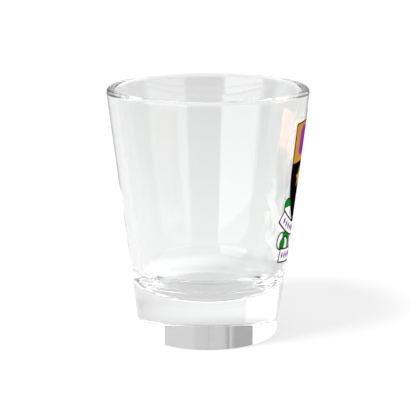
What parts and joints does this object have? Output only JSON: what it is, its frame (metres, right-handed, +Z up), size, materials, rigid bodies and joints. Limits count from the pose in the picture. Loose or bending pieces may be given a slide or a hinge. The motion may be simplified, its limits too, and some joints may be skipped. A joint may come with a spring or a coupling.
{
  "type": "shot glass",
  "caption": "Small clear tapered drinking glass with a thick base, a round lip and a shield-and-ribbon badge printed on one side.",
  "frame": {"origin": "centre of the flat foot, on the plane that the glass stands on", "axes": "+Z up along the glass's own axis, towards the mouth; the printed badge faces -Y, and +X is to the right of someone who looks at the badge"},
  "size_m": [0.0482, 0.0482, 0.06],
  "materials": {
    "clear_glass": "clear pressed soda-lime glass, fire-polished",
    "white_ink": "opaque gloss printing ink, under-base",
    "black_ink": "gloss printing ink",
    "gold_ink": "gloss printing ink, ochre gold",
    "purple_ink": "gloss printing ink",
    "green_ink": "gloss printing ink"
  },
  "bodies": {
    "root": {"glass_body": "clear_glass", "shield_white_base": "white_ink", "ribbon_white_base": "white_ink", "shield_outline": "black_ink", "ribbon_outline": "black_ink", "chief_gold_ground": "gold_ink", "chief_purple_panel": "purple_ink", "field_black_ground": "black_ink", "star_left": "gold_ink", "star_right": "gold_ink", "star_lower": "gold_ink", "arch_green_left": "green_ink", "arch_green_right": "green_ink", "knob_green_left": "green_ink", "knob_green_right": "green_ink", "tail_green_left": "green_ink", "tail_green_right": "green_ink", "upper_band_marks": "purple_ink", "lower_band_marks": "purple_ink"}
  },
  "joints": []
}
